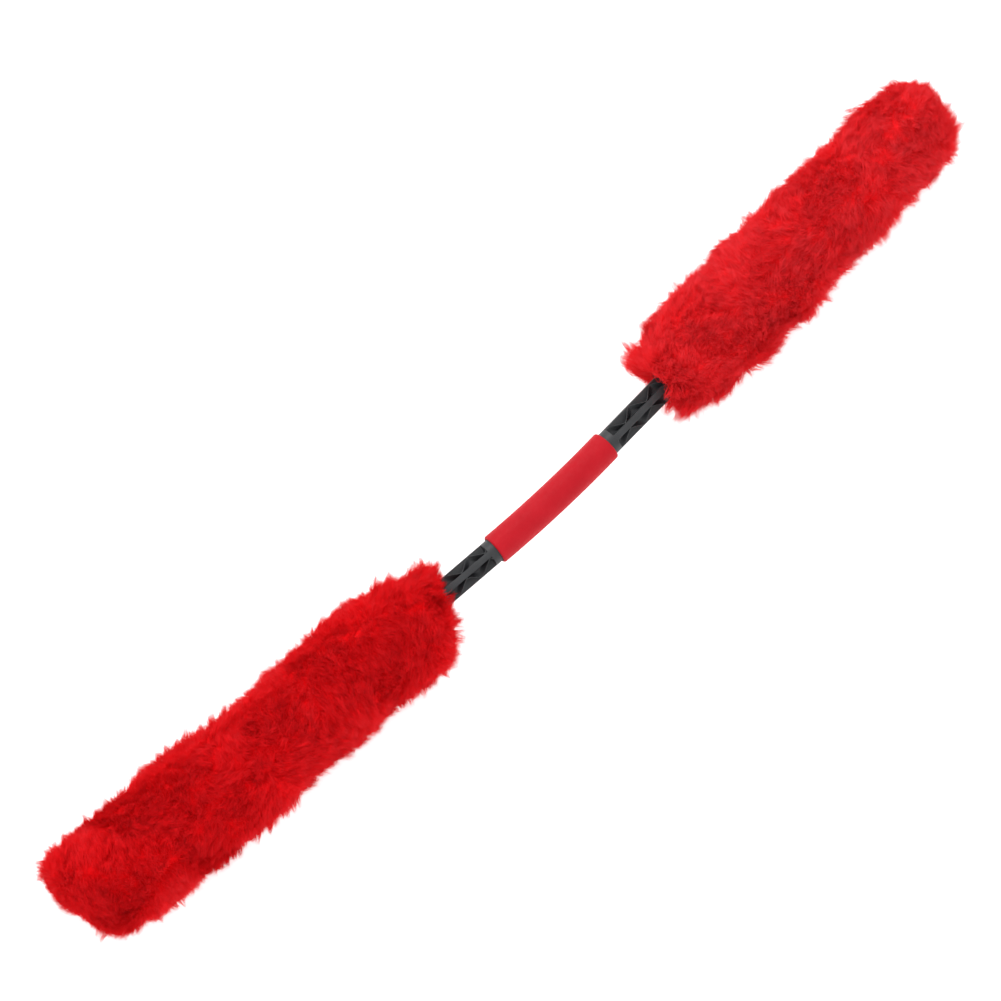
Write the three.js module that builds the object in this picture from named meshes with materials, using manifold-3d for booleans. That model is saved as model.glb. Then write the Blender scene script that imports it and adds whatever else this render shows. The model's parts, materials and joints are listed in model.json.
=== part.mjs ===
// A double-ended wheel-cleaning brush: two moulded lattice arms joined by a flexible link under a soft
// grip, each arm inside a sleeve of dyed wool. It lies on its two sleeves.
// Millimetres, +Z up. +X runs along the stick towards the shorter sleeve, the handle's set bend lies in
// the XY plane with both ends towards +Y, and z = 0 is the surface that the wool lies on.

import * as THREE from 'three';
import { mergeVertices } from 'three/addons/utils/BufferGeometryUtils.js';
import Module from 'manifold-3d';

const wasm = await Module();
wasm.setup();

const degrees = THREE.MathUtils.degToRad;

// Whole stick
const AXIS_HEIGHT = 28.5;             // shaft axis above the surface
const SET_BEND = degrees(5.2);        // angle between the two arms, spread over the flexible link
const GAP = 0.3;                      // clearance between neighbouring pieces

// Shaft and its lattice
const SHAFT_RADIUS = 7.25;
const CORE_FLAT = 4;                  // floor of the windows, from the axis: the core is square
const BAR_WIDTH = 3.6;                // each of the four lengthwise bars
const RIB_CREST = 5.2;                // flat top of the zigzag ribs, from the axis
const RIB_FOOT = 3.4;                 // bottom of the ribs, inside the core
const RIB_SWING = 3.2;                // to each side of the window's middle, into the bars
const RIB_HALF_WIDTH = 0.75;          // measured across the shaft
const RIB_RUN = 8.5;                  // along the shaft, from one bar to the next
const FIRST_RIB = 5.3;                // where the zigzag starts, inside the inner collar
const INNER_COLLAR = 12.3;            // plain length at the handle
const OUTER_COLLAR = 7.5;             // plain length at the tip
const LAST_RIB_TO_END = 5.7;

// Flexible link
const LINK_HALF_LENGTH = 36;          // its full-diameter part, between the arms
const LINK_WAIST_RADIUS = 5.4;        // bottom of the flexing grooves
const LINK_DISCS = 7;
const SPIGOT_RADIUS = 4.7;
const SPIGOT_LENGTH = 10.5;
const PIN_RADIUS = 1.25;
const PIN_LENGTH = 13.6;
const PIN_FROM_END = 4.2;             // pin axis from the arm's inner end

// Grip
const GRIP_HALF_LENGTH = 43.5;
const GRIP_RADIUS = 9;
const GRIP_LIP = 1.1;                 // radius of its rounded ends
const GRIP_STEPS = 10;

// Tip cap
const CAP_HEIGHT = 5;
const CAP_STEM_RADIUS = 3.6;
const CAP_STEM_LENGTH = 6;

// Sleeve
const BACKING_THICKNESS = 1.8;
const TIE_RADIUS = 1.1;               // thickness radius of the cord that cinches the mouth
const MOUTH_DEPTH = 14;               // how far the tie sits inside the wool's mouth
const SEAM_THREAD = 1.1;              // width and height of the seam's thread
const SEAM_SWING = 1.2;               // zigzag to each side of the seam line
const SEAM_PITCH = 9;
const GATHER_RADIUS = 4;              // loop of thread that draws the sleeve's end shut
const GATHER_THREAD = 0.6;

// The two arms differ in length, in the sleeve that they carry and in how they are turned in the handle.
const ARMS = {
  left: {
    side: -1, ribs: 34, roll: degrees(12), firstBarIsApex: false,
    mouth: 46, tip: 322.5, mouthRadius: 20, nearRadius: 31, farRadius: 33.2, flare: 34, tipLength: 18,
  },
  right: {
    side: 1, ribs: 29, roll: degrees(-19), firstBarIsApex: true,
    mouth: 43.5, tip: 281, mouthRadius: 18, nearRadius: 31, farRadius: 28.9, flare: 44, tipLength: 27,
  },
};

const MATERIALS = {
  shaft: { color: 0x35373a, roughness: 0.55, metalness: 0 },
  cap: { color: 0x2a2b2d, roughness: 0.6, metalness: 0 },
  link: { color: 0x1d1d1f, roughness: 0.8, metalness: 0 },
  pin: { color: 0xa9adb0, roughness: 0.35, metalness: 1 },
  grip: { color: 0xc8202f, roughness: 0.7, metalness: 0 },
  wool: { color: 0xc8121c, roughness: 0.95, metalness: 0 },
  backing: { color: 0xb4503c, roughness: 0.9, metalness: 0 },
  thread: { color: 0x9c1018, roughness: 0.8, metalness: 0 },
};

// A closed three.js geometry as a solid, and back again.
function solid(geometry) {
  const bare = geometry.clone();
  bare.deleteAttribute('normal');
  bare.deleteAttribute('uv');
  const merged = mergeVertices(bare, 1e-5);
  return new wasm.Manifold(new wasm.Mesh({
    numProp: 3,
    vertProperties: new Float32Array(merged.attributes.position.array),
    triVerts: new Uint32Array(merged.index.array),
  }));
}

function geometryOf(body) {
  const mesh = body.getMesh();
  const geometry = new THREE.BufferGeometry();
  geometry.setAttribute('position', new THREE.BufferAttribute(new Float32Array(mesh.vertProperties), 3));
  geometry.setIndex(new THREE.BufferAttribute(new Uint32Array(mesh.triVerts), 1));
  return geometry;
}

// A solid of revolution about the X axis, from [radius, x] points.
function turned(points, segments) {
  const profile = points.map(([radius, x]) => new THREE.Vector2(radius, x));
  return new THREE.LatheGeometry(profile, segments).rotateZ(-Math.PI / 2).rotateX(-Math.PI / 2);
}

// A round rod along X.
function rod(radius, from, to, segments) {
  return turned([[0, from], [radius, from], [radius, to], [0, to]], segments);
}

// A round ring about the X axis, closed on itself.
function ring(radius, thickness, x, segments, sides) {
  const points = [];
  for (let i = 0; i <= sides; i += 1) {
    const angle = (2 * Math.PI * (i % sides)) / sides;
    points.push([radius + thickness * Math.sin(angle), x - thickness * Math.cos(angle)]);
  }
  return turned(points, segments);
}

// Points of a quarter turn from one direction to the next, about [radius, x].
function quarter(centreRadius, centreX, size, startAngle, steps) {
  const points = [];
  for (let i = 0; i <= steps; i += 1) {
    const angle = startAngle + (i / steps) * (Math.PI / 2);
    points.push([centreRadius + size * Math.sin(angle), centreX - size * Math.cos(angle)]);
  }
  return points;
}

// The handle's bend: points along X go onto an arc over the link, and onto its tangents beyond it.
function placeOnBend(along, across) {
  const bendRadius = (2 * LINK_HALF_LENGTH) / SET_BEND;
  const reach = THREE.MathUtils.clamp(along, -LINK_HALF_LENGTH, LINK_HALF_LENGTH);
  const angle = reach / bendRadius;
  const beyond = along - reach;
  return [
    (bendRadius - across) * Math.sin(angle) + beyond * Math.cos(angle),
    bendRadius - (bendRadius - across) * Math.cos(angle) + beyond * Math.sin(angle),
  ];
}

function bent(geometry) {
  const position = geometry.attributes.position;
  for (let i = 0; i < position.count; i += 1) {
    const [x, y] = placeOnBend(position.getX(i), position.getY(i));
    position.setXY(i, x, y);
  }
  return geometry;
}

// Where an arm starts: the end face of the link, facing outwards along the arm.
function armGroup(side) {
  const [x, y] = placeOnBend(side * LINK_HALF_LENGTH, 0);
  const group = new THREE.Group();
  group.position.set(x, y, 0);
  group.rotation.z = side > 0 ? SET_BEND / 2 : Math.PI - SET_BEND / 2;
  return group;
}

function armLength(arm) {
  return FIRST_RIB + arm.ribs * RIB_RUN + LAST_RIB_TO_END;
}

// One window's zigzag rib: it stands on the window's flat floor and runs from bar to bar.
function zigzagRib(arm, window) {
  const startsAtFirstBar = (window % 2 === 0) === arm.firstBarIsApex;
  const near = [];
  const far = [];
  for (let i = 0; i <= arm.ribs; i += 1) {
    const x = FIRST_RIB + i * RIB_RUN;
    const y = (i % 2 === 0) === startsAtFirstBar ? -RIB_SWING : RIB_SWING;
    near.push(new THREE.Vector2(x, y - RIB_HALF_WIDTH));
    far.unshift(new THREE.Vector2(x, y + RIB_HALF_WIDTH));
  }
  const depth = RIB_CREST - RIB_FOOT;
  const rib = new THREE.ExtrudeGeometry(new THREE.Shape([...near, ...far]), { depth, bevelEnabled: false });
  const windowMiddle = (window + 0.5) * (Math.PI / 2);
  return solid(rib.translate(0, 0, RIB_FOOT).rotateX(-windowMiddle));
}

function crossPinHole(from) {
  const hole = new THREE.CylinderGeometry(PIN_RADIUS + GAP, PIN_RADIUS + GAP, 4 * SHAFT_RADIUS, 12);
  return solid(hole.rotateX(Math.PI / 2).translate(from, 0, 0));
}

// A moulded arm: core, four bars, zigzag ribs between them, a plain collar at each end.
function latticeArm(arm) {
  const length = armLength(arm);
  const bar = new THREE.BoxGeometry(length - 2, BAR_WIDTH, 3 * SHAFT_RADIUS).translate(length / 2, 0, 0);
  const bars = solid(bar).add(solid(bar.clone().rotateX(Math.PI / 2)));
  let body = bars.intersect(solid(rod(SHAFT_RADIUS, 0, length, 24)));
  for (let window = 0; window < 4; window += 1) {
    body = body.add(zigzagRib(arm, window));
  }
  body = body
    .add(solid(rod(CORE_FLAT * Math.SQRT2, 1, length - 1, 4)))
    .add(solid(rod(SHAFT_RADIUS, 0, INNER_COLLAR, 24)))
    .add(solid(rod(SHAFT_RADIUS, length - OUTER_COLLAR, length, 24)))
    .subtract(solid(rod(SPIGOT_RADIUS + GAP, -1, SPIGOT_LENGTH + GAP, 16)))
    .subtract(solid(rod(CAP_STEM_RADIUS + GAP, length - CAP_STEM_LENGTH - GAP, length + 1, 16)));
  const turnedInHandle = geometryOf(body).rotateX(-arm.roll);
  return geometryOf(solid(turnedInHandle).subtract(crossPinHole(PIN_FROM_END)));
}

function crossPin() {
  const pin = new THREE.CylinderGeometry(PIN_RADIUS, PIN_RADIUS, PIN_LENGTH, 12);
  return pin.rotateX(Math.PI / 2).translate(PIN_FROM_END, 0, 0);
}

function tipCap(arm) {
  const start = armLength(arm) + GAP;
  const dome = [];
  const steps = 4;
  for (let i = 0; i <= steps; i += 1) {
    const angle = (i / steps) * (Math.PI / 2);
    dome.push([SHAFT_RADIUS * Math.cos(angle), start + 1 + (CAP_HEIGHT - 1) * Math.sin(angle)]);
  }
  dome[steps][0] = 0;
  const stemStart = start - CAP_STEM_LENGTH;
  return turned([
    [0, stemStart], [CAP_STEM_RADIUS, stemStart], [CAP_STEM_RADIUS, start], [SHAFT_RADIUS, start], ...dome,
  ], 16);
}

// The link: discs and waists between the arms, and a spigot into each arm.
function flexibleLink() {
  const pitch = (2 * LINK_HALF_LENGTH) / LINK_DISCS;
  const disc = pitch / 2;
  const spigotEnd = LINK_HALF_LENGTH + SPIGOT_LENGTH;
  const inset = LINK_HALF_LENGTH - GAP;
  const points = [[0, -spigotEnd], [SPIGOT_RADIUS, -spigotEnd], [SPIGOT_RADIUS, -inset]];
  for (let i = 0; i < LINK_DISCS; i += 1) {
    const centre = (i - (LINK_DISCS - 1) / 2) * pitch;
    const from = i === 0 ? -inset : centre - disc / 2;
    const to = i === LINK_DISCS - 1 ? inset : centre + disc / 2;
    points.push([SHAFT_RADIUS, from], [SHAFT_RADIUS, to]);
    if (i < LINK_DISCS - 1) {
      points.push([LINK_WAIST_RADIUS, to + 0.5], [LINK_WAIST_RADIUS, centre + pitch - disc / 2 - 0.5]);
    }
  }
  points.push([SPIGOT_RADIUS, inset], [SPIGOT_RADIUS, spigotEnd], [0, spigotEnd]);
  let body = solid(bent(turned(points, 16)));
  for (const side of [-1, 1]) {
    const group = armGroup(side);
    group.updateMatrix();
    const hole = geometryOf(crossPinHole(PIN_FROM_END)).applyMatrix4(group.matrix);
    body = body.subtract(solid(hole));
  }
  return geometryOf(body);
}

// The grip: a soft tube with rounded lips, bent with the link.
function gripSleeve() {
  const bore = SHAFT_RADIUS + GAP;
  const inner = bore + GRIP_LIP * 0.3;
  const lipFrom = GRIP_HALF_LENGTH - GRIP_LIP;
  const outer = [];
  const lining = [];
  for (let i = 0; i <= GRIP_STEPS; i += 1) {
    const x = (i / GRIP_STEPS - 0.5) * 2 * lipFrom;
    outer.push([GRIP_RADIUS, x]);
    lining.unshift([bore, x]);
  }
  const points = [
    ...quarter(GRIP_RADIUS - GRIP_LIP, -lipFrom, GRIP_LIP, 0, 3).slice(0, -1), ...outer,
    ...quarter(GRIP_RADIUS - GRIP_LIP, lipFrom, GRIP_LIP, Math.PI / 2, 3).slice(1),
    [inner, GRIP_HALF_LENGTH], ...lining, [inner, -GRIP_HALF_LENGTH],
  ];
  points.push(points[0]);
  return bent(turned(points, 20));
}

function backingEnd(arm) {
  return armLength(arm) + 2 * GAP + CAP_HEIGHT + BACKING_THICKNESS;
}

// The sleeve's backing: a sewn tube over the arm, shut over the tip cap.
function backing(arm) {
  const inner = SHAFT_RADIUS + GAP;
  const outer = inner + BACKING_THICKNESS;
  const from = arm.mouth + MOUTH_DEPTH - 3;
  const end = backingEnd(arm);
  return turned([
    [0, end - BACKING_THICKNESS], [inner, end - BACKING_THICKNESS], [inner, from], [outer, from],
    [outer, end - 1.5], [outer - 1.5, end], [0, end],
  ], 20);
}

function mouthTie(arm) {
  const radius = SHAFT_RADIUS + 2 * GAP + BACKING_THICKNESS + TIE_RADIUS;
  return ring(radius, TIE_RADIUS, arm.mouth + MOUTH_DEPTH - TIE_RADIUS - GAP, 20, 6);
}

function gatherThread(arm) {
  return ring(GATHER_RADIUS, GATHER_THREAD, backingEnd(arm) + GAP + GATHER_THREAD, 16, 6);
}

// The lengthwise seam: one zigzag thread along the underside of the backing.
function seamThread(arm) {
  const from = arm.mouth + MOUTH_DEPTH + 2;
  const to = backingEnd(arm) - 4;
  const stitches = Math.floor((to - from) / SEAM_PITCH) * 2;
  const run = (to - from) / stitches;
  const near = [];
  const far = [];
  for (let i = 0; i <= stitches; i += 1) {
    const x = from + i * run;
    const swing = i % 2 === 0 ? -SEAM_SWING : SEAM_SWING;
    near.push(new THREE.Vector2(x, swing - SEAM_THREAD / 2));
    far.unshift(new THREE.Vector2(x, swing + SEAM_THREAD / 2));
  }
  const thread = new THREE.ExtrudeGeometry(
    new THREE.Shape([...near, ...far]), { depth: SEAM_THREAD, bevelEnabled: false },
  );
  const top = -(SHAFT_RADIUS + 2 * GAP + BACKING_THICKNESS);
  return thread.translate(0, 0, top - SEAM_THREAD);
}

// The wool's outline along its sleeve: a flared mouth, a long body and a rounded tip.
function woolRadius(arm, x) {
  const share = (x - arm.mouth) / (arm.tip - arm.mouth);
  const body = arm.nearRadius + (arm.farRadius - arm.nearRadius) * share;
  if (x < arm.mouth + arm.flare) {
    const rise = Math.sin(((x - arm.mouth) / arm.flare) * (Math.PI / 2));
    return arm.mouthRadius + (body - arm.mouthRadius) * rise;
  }
  const past = Math.max(0, x - (arm.tip - arm.tipLength)) / arm.tipLength;
  return body * Math.sqrt(Math.max(0, 1 - past ** 2.6));
}

// The wool pile as one solid: a blind bore over the backing, a cupped mouth, and a flat where it lies.
function woolPile(arm) {
  const bore = SHAFT_RADIUS + 2 * GAP + BACKING_THICKNESS;
  const boreEnd = backingEnd(arm) + 2 * GAP + 2 * GATHER_THREAD;
  const tieRoom = bore + 2 * TIE_RADIUS + 2 * GAP;
  const points = [
    [0, boreEnd], [bore, boreEnd], [bore, arm.mouth + MOUTH_DEPTH],
    [tieRoom, arm.mouth + MOUTH_DEPTH], [arm.mouthRadius - 2.5, arm.mouth + 1],
  ];
  const bodyFrom = arm.mouth + arm.flare;
  const bodyTo = arm.tip - arm.tipLength;
  const stations = [0, 0.2, 0.45, 0.7].map((share) => arm.mouth + share * arm.flare);
  for (let i = 0; i <= 5; i += 1) {
    stations.push(bodyFrom + ((bodyTo - bodyFrom) * i) / 5);
  }
  stations.push(...[0.35, 0.6, 0.8, 0.93].map((share) => bodyTo + share * arm.tipLength));
  points.push(...stations.map((x) => [woolRadius(arm, x), x]), [0, arm.tip]);
  const seamRoom = 2 * SEAM_SWING + SEAM_THREAD + 2 * GAP;
  const slotDepth = bore + SEAM_THREAD + GAP;
  const slotLength = boreEnd - arm.mouth - MOUTH_DEPTH;
  const slot = new THREE.BoxGeometry(slotLength, seamRoom, slotDepth)
    .translate(arm.mouth + MOUTH_DEPTH + slotLength / 2, 0, -slotDepth / 2);
  const below = new THREE.BoxGeometry(2 * arm.tip, 4 * AXIS_HEIGHT, 2 * AXIS_HEIGHT)
    .translate(arm.tip, 0, -2 * AXIS_HEIGHT);
  return geometryOf(solid(turned(points, 28)).subtract(solid(slot)).subtract(solid(below)));
}

function named(name, geometry, material) {
  const mesh = new THREE.Mesh(geometry, new THREE.MeshStandardMaterial(MATERIALS[material]));
  mesh.name = name;
  return mesh;
}

function armAssembly(name, arm) {
  const group = armGroup(arm.side);
  group.add(
    named(`${name}_arm`, latticeArm(arm), 'shaft'),
    named(`${name}_link_pin`, crossPin(), 'pin'),
    named(`${name}_tip_cap`, tipCap(arm), 'cap'),
    named(`${name}_sleeve_backing`, backing(arm), 'backing'),
    named(`${name}_mouth_tie`, mouthTie(arm), 'thread'),
    named(`${name}_seam_thread`, seamThread(arm), 'thread'),
    named(`${name}_gather_thread`, gatherThread(arm), 'thread'),
    named(`${name}_wool_pile`, woolPile(arm), 'wool'),
  );
  return group;
}

const brush = new THREE.Group();
brush.add(
  named('flex_link', flexibleLink(), 'link'),
  named('grip_sleeve', gripSleeve(), 'grip'),
  armAssembly('left', ARMS.left),
  armAssembly('right', ARMS.right),
);

// The origin is under the middle of the stick's box.
const box = new THREE.Box3().setFromObject(brush, true);
const middle = box.getCenter(new THREE.Vector3());
brush.position.set(-middle.x, -middle.y, AXIS_HEIGHT);

export default brush;
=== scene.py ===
"""A double-ended wool wheel brush: dyed wool sleeves, lattice arms and a soft grip on a bent handle."""
import json
import math

import bpy
import numpy as np
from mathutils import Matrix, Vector


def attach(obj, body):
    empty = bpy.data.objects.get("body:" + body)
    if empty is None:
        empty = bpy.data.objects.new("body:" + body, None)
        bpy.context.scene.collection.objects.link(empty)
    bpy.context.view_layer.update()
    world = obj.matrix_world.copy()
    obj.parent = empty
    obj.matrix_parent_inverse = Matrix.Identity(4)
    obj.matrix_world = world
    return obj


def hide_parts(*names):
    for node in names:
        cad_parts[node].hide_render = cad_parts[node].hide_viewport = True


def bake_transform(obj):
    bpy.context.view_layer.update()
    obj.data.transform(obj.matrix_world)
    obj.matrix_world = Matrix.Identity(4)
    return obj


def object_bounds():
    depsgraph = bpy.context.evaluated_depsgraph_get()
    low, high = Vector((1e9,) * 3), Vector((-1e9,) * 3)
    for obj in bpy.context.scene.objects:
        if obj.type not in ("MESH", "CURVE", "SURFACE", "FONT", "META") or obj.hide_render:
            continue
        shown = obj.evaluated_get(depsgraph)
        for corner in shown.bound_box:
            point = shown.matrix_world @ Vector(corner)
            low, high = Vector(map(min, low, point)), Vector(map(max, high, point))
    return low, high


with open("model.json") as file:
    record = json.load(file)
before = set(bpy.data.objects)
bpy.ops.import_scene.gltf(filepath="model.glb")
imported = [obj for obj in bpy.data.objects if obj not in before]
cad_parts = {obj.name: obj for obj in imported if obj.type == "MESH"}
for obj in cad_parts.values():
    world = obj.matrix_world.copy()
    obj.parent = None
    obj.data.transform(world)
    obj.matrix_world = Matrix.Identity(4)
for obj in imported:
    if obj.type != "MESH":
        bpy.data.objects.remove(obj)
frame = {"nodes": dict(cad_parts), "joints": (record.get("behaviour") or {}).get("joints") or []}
cad_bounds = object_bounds()

MM = 0.001

# ---------------------------------------------------------------- sizes of the handle, as the CAD has them
LINK_HALF = 36 * MM            # half the flexible link's full-diameter part
SET_BEND = math.radians(5.2)
BEND_RADIUS = 2 * LINK_HALF / SET_BEND
PIVOT_REACH = 18 * MM          # each hinge from the handle's middle, along it
SHAFT_RADIUS = 7.25 * MM
GRIP_HALF = 43.5 * MM
GRIP_RADIUS = 9 * MM
GRIP_BORE = 7.55 * MM
LINK_WAIST = 5.4 * MM
LINK_DISCS = 7
SPIGOT_RADIUS = 4.7 * MM
SPIGOT_LENGTH = 10.5 * MM
BORE_RADIUS = 5 * MM
BORE_DEPTH = 10.8 * MM
CAP_BORE_RADIUS = 3.9 * MM
CAP_BORE_DEPTH = 6.3 * MM
PIN_HOLE_RADIUS = 1.55 * MM
PIN_FROM_END = 4.2 * MM
BAR_HALF_WIDTH = 1.8 * MM
RIB_SWING = 3.2 * MM
RIB_RUN = 8.5 * MM
FIRST_RIB = 5.3 * MM
INNER_COLLAR = 12.3 * MM
OUTER_COLLAR = 7.5 * MM
LAST_RIB_TO_END = 5.7 * MM

# Where the photograph asks for more than the CAD has: deeper windows, slimmer and taller ribs, rounder lips.
CORE_FLAT = 2.6 * MM           # floor of the windows, from the axis
RIB_CREST = 6.4 * MM
RIB_HALF_WIDTH = 0.35 * MM
RIB_INSET = 0.35 * MM          # the ribs stay this far inside the shaft's outer surface
GRIP_LIP = 1.3 * MM
ARM_CHAMFER = 0.35 * MM

# How finely the handle is meshed.
ARM_COLUMNS = 192
ARM_FINE_END = 62 * MM         # the part of an arm that shows is cut finely
ARM_FINE_STEP = 0.28 * MM
ARM_COARSE_STEP = 1.0 * MM
GRIP_COLUMNS = 96
LINK_COLUMNS = 64
AXIS_HOLE = 0.02 * MM          # the link's end faces stop this far from the axis
BORE_FLOOR_HOLE = 0.05 * MM    # and so do the floors of an arm's bores

joints = {joint["name"]: Vector(joint["pos_m"]) for joint in frame["joints"]}
handle_middle = (joints["left_bend"] + joints["right_bend"]) / 2
handle_middle.y -= BEND_RADIUS * (1 - math.cos(PIVOT_REACH / BEND_RADIUS))


def on_handle(along, across=0.0, up=0.0):
    """A point of the bent handle: along its middle line, across it towards +Y, and up."""
    reach = np.clip(along, -LINK_HALF, LINK_HALF)
    angle = reach / BEND_RADIUS
    beyond = along - reach
    x = (BEND_RADIUS - across) * np.sin(angle) + beyond * np.cos(angle)
    y = BEND_RADIUS - (BEND_RADIUS - across) * np.cos(angle) + beyond * np.sin(angle)
    return np.stack([x + handle_middle.x, y + handle_middle.y, up + handle_middle.z + 0 * x], -1)


class Arm:
    """One end of the brush, with its own frame: x outwards along the arm, and angles from the top."""

    def __init__(self, name, side, **sizes):
        self.name = name
        self.side = side
        self.body = name + "_end"
        turn = SET_BEND / 2 if side > 0 else math.pi - SET_BEND / 2
        self.out = np.array([math.cos(turn), math.sin(turn), 0])
        self.left = np.array([-math.sin(turn), math.cos(turn), 0])
        self.up = np.array([0, 0, 1.0])
        self.start = on_handle(side * LINK_HALF)
        for key, value in sizes.items():
            setattr(self, key, value)
        self.length = FIRST_RIB + self.ribs * RIB_RUN + LAST_RIB_TO_END

    def world(self, points):
        """Points given as (out, left, up)."""
        return (self.start + points[..., :1] * self.out + points[..., 1:2] * self.left
                + points[..., 2:] * self.up)


def around(x, radius, angle):
    """Points as (out, left, up) at a distance x along an arm, a radius and an angle from the top."""
    return np.stack([x, radius * np.sin(angle), radius * np.cos(angle)], -1)


# Of each sleeve: near and far are the wool's radii at the mouth and the tip, cap is the length of the
# rounded tip, and the slants shear the two ends across. cup is how far inside the mouth the wool's face lies,
# in mm, from the arm outwards. Swells are (place along the sleeve, side: 1 is +Y, half width, height), and
# pinches are (place, angle from the top towards the arm's left, reach).
# The tone shifts of the sleeves are partly dye and partly painted light: the right sleeve is coloured lighter
# and the left darker, as if the right were lit more.
ARMS = [
    Arm("left", -1, seed=11, ribs=34, roll=math.radians(12), first_is_apex=False,
        mouth=47.5 * MM, tip=319 * MM, near=31.6 * MM, far=34.0 * MM, cap=19 * MM, dye_and_painted_light=-0.06,
        mouth_slant=-11.5 * MM, tip_slant=4.5 * MM, cup=[1, -1, -2.5, -1.5, 0.5, 5, 13],
        swells=[(46 * MM, 1, 24 * MM, -12.5 * MM), (64 * MM, 1, 10 * MM, -3.2 * MM),
                (124 * MM, 1, 20 * MM, 1.4 * MM), (178 * MM, 1, 26 * MM, -4.2 * MM),
                (62 * MM, -1, 12 * MM, 4.0 * MM), (168 * MM, -1, 10 * MM, -2.0 * MM),
                (142 * MM, -1, 30 * MM, 1.6 * MM), (228 * MM, -1, 45 * MM, 3.1 * MM),
                (222 * MM, 1, 9 * MM, 1.8 * MM), (312 * MM, -1, 16 * MM, -3.5 * MM)],
        pinches=[(306 * MM, math.radians(50), 20 * MM)]),
    Arm("right", 1, seed=23, ribs=29, roll=math.radians(-19), first_is_apex=True,
        mouth=49 * MM, tip=280.5 * MM, near=31.6 * MM, far=29.0 * MM, cap=25 * MM, dye_and_painted_light=0.20,
        mouth_slant=-1.5 * MM, tip_slant=5.5 * MM, cup=[19, 16, 11, 4.5, 0, 3, 12],
        swells=[(58 * MM, 1, 10 * MM, -6.0 * MM), (86 * MM, 1, 14 * MM, 1.8 * MM),
                (134 * MM, 1, 12 * MM, 3.2 * MM), (185 * MM, 1, 60 * MM, 2.0 * MM),
                (84 * MM, 1, 20 * MM, 1.2 * MM), (246 * MM, 1, 24 * MM, 1.8 * MM),
                (52 * MM, -1, 22 * MM, -6.0 * MM), (74 * MM, -1, 12 * MM, 1.2 * MM),
                (84 * MM, -1, 12 * MM, -1.5 * MM), (105 * MM, -1, 6 * MM, 1.5 * MM),
                (124 * MM, -1, 8 * MM, -2.4 * MM), (141 * MM, -1, 7 * MM, 3.4 * MM),
                (205 * MM, -1, 70 * MM, -1.6 * MM), (252 * MM, -1, 20 * MM, -1.8 * MM)],
        pinches=[(81 * MM, math.radians(-4), 24 * MM)]),
]


# ---------------------------------------------------------------- materials
class Surface:
    """A node-based material, built up from textures in the piece's own coordinates."""

    def __init__(self, name, **constants):
        self.material = bpy.data.materials.new(name)
        self.material.use_nodes = True
        self.nodes = self.material.node_tree.nodes
        self.links = self.material.node_tree.links
        self.shader = self.nodes["Principled BSDF"]
        for key, value in constants.items():
            self.shader.inputs[key.replace("_", " ")].default_value = value
        self.place = self.nodes.new("ShaderNodeTexCoord").outputs["Object"]

    def node(self, kind, links=(), **settings):
        """A new node: a setting is one of its properties, or else the value of one of its sockets."""
        made = self.nodes.new(kind)
        for key, value in settings.items():
            if hasattr(made, key):
                setattr(made, key, value)
            else:
                made.inputs[key.replace("_", " ")].default_value = value
        for key, source in dict(links).items():
            self.links.new(source, made.inputs[key])
        return made

    def noise(self, scale, detail=3.0, roughness=0.55, stretch=None):
        """Noise in the piece's own coordinates; stretch scales each axis first."""
        place = self.place
        if stretch:
            place = self.node("ShaderNodeMapping", {"Vector": place}, Scale=stretch).outputs["Vector"]
        return self.node("ShaderNodeTexNoise", {"Vector": place}, Scale=scale, Detail=detail,
                         Roughness=roughness).outputs["Fac"]

    def range(self, value, low, high, to_low, to_high):
        """A value remapped from low..high to to_low..to_high."""
        made = self.node("ShaderNodeMapRange", {"Value": value})
        for key, number in (("From Min", low), ("From Max", high), ("To Min", to_low), ("To Max", to_high)):
            made.inputs[key].default_value = number
        return made.outputs["Result"]

    def combine(self, first, second, operation="ADD"):
        """Two values in one, by default their sum."""
        made = self.node("ShaderNodeMath", operation=operation)
        for slot, value in enumerate((first, second)):
            self.links.new(value, made.inputs[slot])
        return made.outputs["Value"]

    def color(self, value, stops):
        """Base colour from a value, by stops of (position, linear colour)."""
        ramp = self.node("ShaderNodeValToRGB", {"Fac": value})
        elements = ramp.color_ramp.elements
        while len(elements) < len(stops):
            elements.new(0.5)
        for element, (position, color) in zip(elements, stops):
            element.position = position
            element.color = (*color, 1)
        self.links.new(ramp.outputs["Color"], self.shader.inputs["Base Color"])

    def roughness(self, value):
        self.links.new(value, self.shader.inputs["Roughness"])

    def bump(self, height, strength, distance):
        made = self.node("ShaderNodeBump", {"Height": height}, Strength=strength, Distance=distance)
        self.links.new(made.outputs["Normal"], self.shader.inputs["Normal"])


def wool_surface():
    """Dyed wool: a tone for each fibre from the mesh, which carries painted shade and light, mottled by
    uneven dyeing.
    """
    wool = Surface("dyed_wool", Roughness=0.8, Sheen_Weight=0.06, Sheen_Roughness=0.5,
                   Sheen_Tint=(1, 0.35, 0.38, 1), Specular_IOR_Level=0.04)
    tone = wool.node("ShaderNodeAttribute", attribute_name="tone").outputs["Fac"]
    mottle = wool.range(wool.noise(55, 3), 0.3, 0.7, -0.035, 0.035)
    streaks = wool.range(wool.noise(600, 2), 0.25, 0.75, -0.03, 0.03)
    value = wool.combine(wool.combine(tone, mottle), streaks)
    # The darkest stop is painted shade, reached only inside the mouth.
    wool.color(value, [(0.0, (0.16, 0.0010, 0.0020)), (0.15, (0.76, 0.0020, 0.0040)),
                       (0.35, (0.84, 0.0040, 0.0072)), (0.60, (0.91, 0.0150, 0.0205)),
                       (1.0, (0.95, 0.0560, 0.0680))])
    return wool.material


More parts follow.
